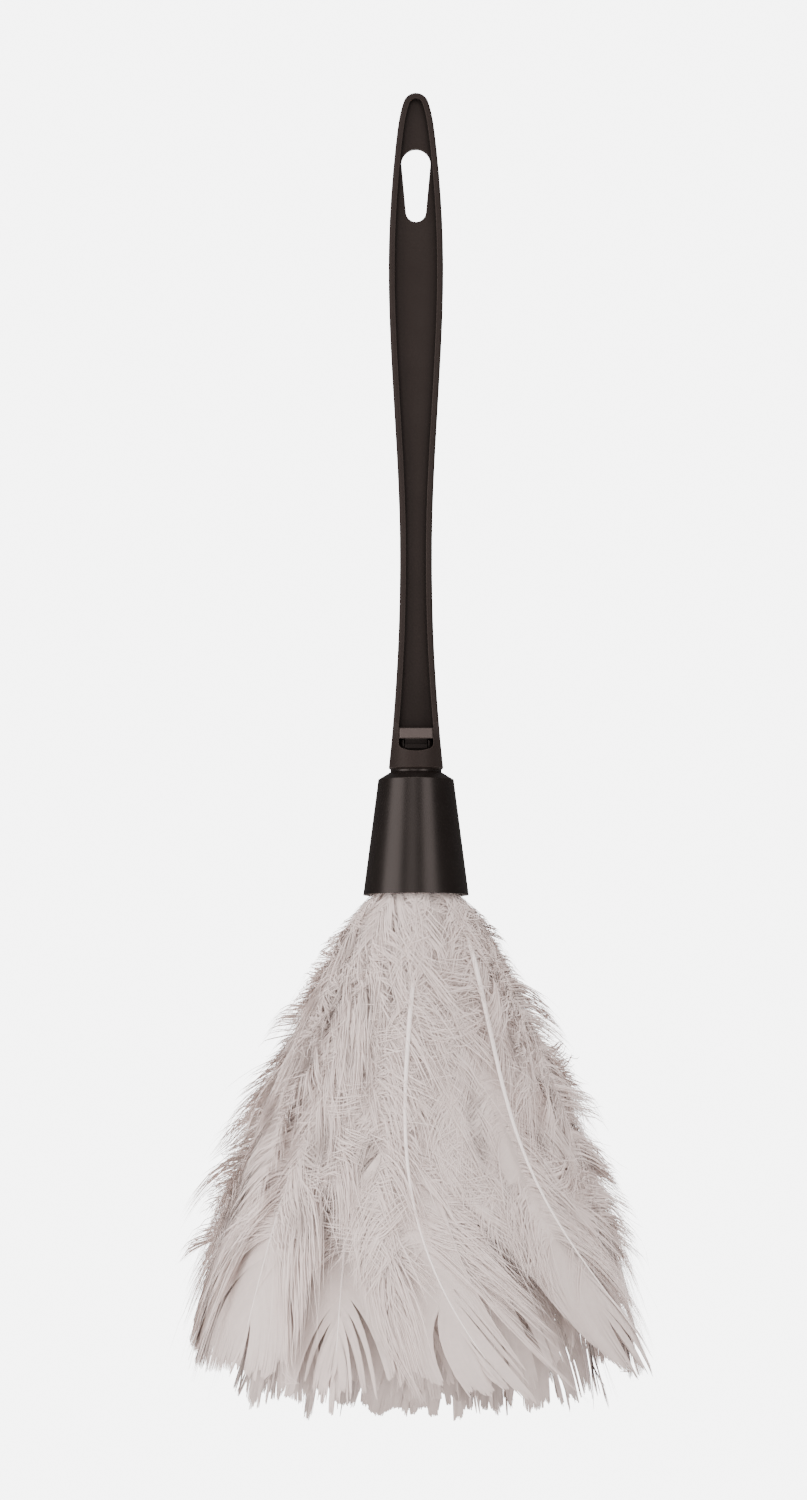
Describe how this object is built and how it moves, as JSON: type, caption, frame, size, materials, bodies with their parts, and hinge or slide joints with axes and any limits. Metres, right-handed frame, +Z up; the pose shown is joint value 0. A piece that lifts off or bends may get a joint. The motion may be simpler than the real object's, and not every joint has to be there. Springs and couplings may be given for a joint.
{
  "type": "feather duster",
  "caption": "Hand duster with a skirt of soft pale feathers on a slim moulded black handle; the feather head snaps off and the handle hangs from a slot.",
  "frame": {"origin": "centre of the hang hole's upper arc, on the handle's middle plane", "axes": "+Z up along the handle as it hangs, -Y the front with the catch window, +Y towards the wall or rail it hangs from, +X to the right seen from the front"},
  "size_m": [0.184, 0.1838, 0.5311],
  "materials": {
    "handle_plastic": "satin",
    "collar_plastic": "gloss",
    "catch_plastic": "satin",
    "core_wood": "matte",
    "glue": "gloss",
    "tie_wire": "satin",
    "outer_feathers": "matte",
    "middle_feathers": "matte",
    "inner_feathers": "matte"
  },
  "bodies": {
    "handle": {"handle": "handle_plastic"},
    "head": {"collar": "collar_plastic", "core_dowel": "core_wood", "glue_plug": "glue", "tie_inner": "tie_wire", "tie_middle": "tie_wire", "tie_outer": "tie_wire", "feather_outer_01": "outer_feathers", "feather_outer_02": "outer_feathers", "feather_outer_03": "outer_feathers", "feather_outer_04": "outer_feathers", "feather_outer_05": "outer_feathers", "feather_outer_06": "outer_feathers", "feather_outer_07": "outer_feathers", "feather_outer_08": "outer_feathers", "feather_outer_09": "outer_feathers", "feather_outer_10": "outer_feathers", "feather_outer_11": "outer_feathers", "feather_outer_12": "outer_feathers", "feather_outer_13": "outer_feathers", "feather_outer_14": "outer_feathers", "feather_outer_15": "outer_feathers", "feather_outer_16": "outer_feathers", "feather_middle_01": "middle_feathers", "feather_middle_02": "middle_feathers", "feather_middle_03": "middle_feathers", "feather_middle_04": "middle_feathers", "feather_middle_05": "middle_feathers", "feather_middle_06": "middle_feathers", "feather_middle_07": "middle_feathers", "feather_middle_08": "middle_feathers", "feather_middle_09": "middle_feathers", "feather_middle_10": "middle_feathers", "feather_middle_11": "middle_feathers", "feather_middle_12": "middle_feathers", "feather_middle_13": "middle_feathers", "feather_middle_14": "middle_feathers", "feather_inner_01": "inner_feathers", "feather_inner_02": "inner_feathers", "feather_inner_03": "inner_feathers", "feather_inner_04": "inner_feathers", "feather_inner_05": "inner_feathers", "feather_inner_06": "inner_feathers", "feather_inner_07": "inner_feathers", "feather_inner_08": "inner_feathers", "feather_inner_09": "inner_feathers", "feather_inner_10": "inner_feathers"},
    "tongue": {"snap_tongue": "catch_plastic"}
  },
  "joints": [
    {"name": "head_pull", "type": "slide", "parent": "handle", "child": "head", "axis": [0, 0, -1], "range_m": [0, 0.03], "deforming": ["snap_tongue"]},
    {"name": "tongue_press", "type": "hinge", "parent": "head", "child": "tongue", "pos_m": [0, -0.00765, -0.24215], "axis": [-1, 0, 0], "range_deg": [0, 14], "stiffness_Nm_per_rad": 0.05}
  ]
}
